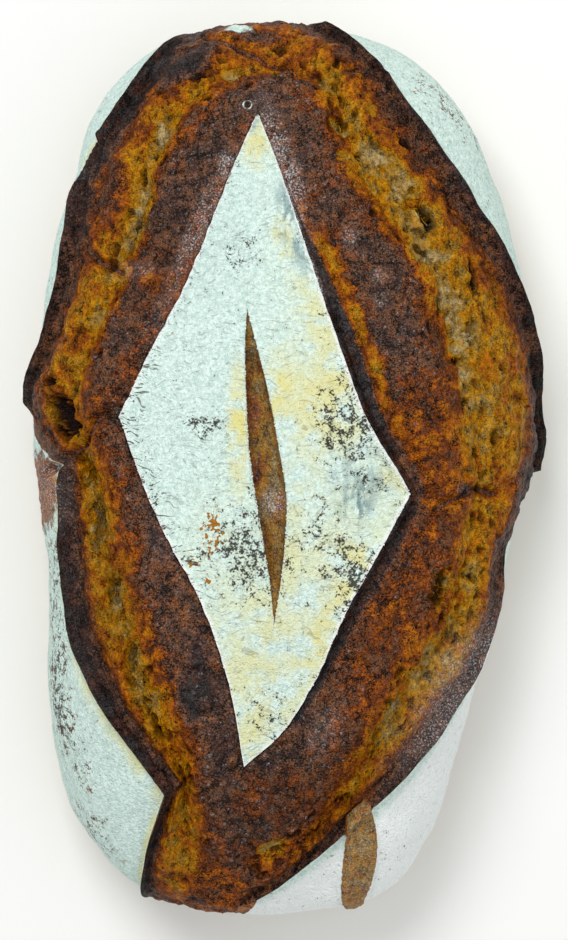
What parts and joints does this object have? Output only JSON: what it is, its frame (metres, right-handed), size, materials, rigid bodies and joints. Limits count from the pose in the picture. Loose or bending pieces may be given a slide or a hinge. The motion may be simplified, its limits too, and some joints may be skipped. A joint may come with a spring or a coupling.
{
  "type": "sourdough loaf",
  "caption": "Long oval sourdough loaf, floured and scored in a diamond, with raised crust ears round a torn bloom and a flat base.",
  "frame": {"origin": "middle of the loaf's box, on the surface it rests on", "axes": "+Y along the loaf's length, towards the end with the diamond's sharper tip; +X to the right as seen from above with +Y up; +Z up"},
  "size_m": [0.1622, 0.2797, 0.0948],
  "materials": {
    "crust": "baked bread crust, dark brown and blistered, torn golden crumb in the bloom, white flour on the diamond and on the sides"
  },
  "bodies": {
    "root": {"loaf": "crust"}
  },
  "joints": []
}
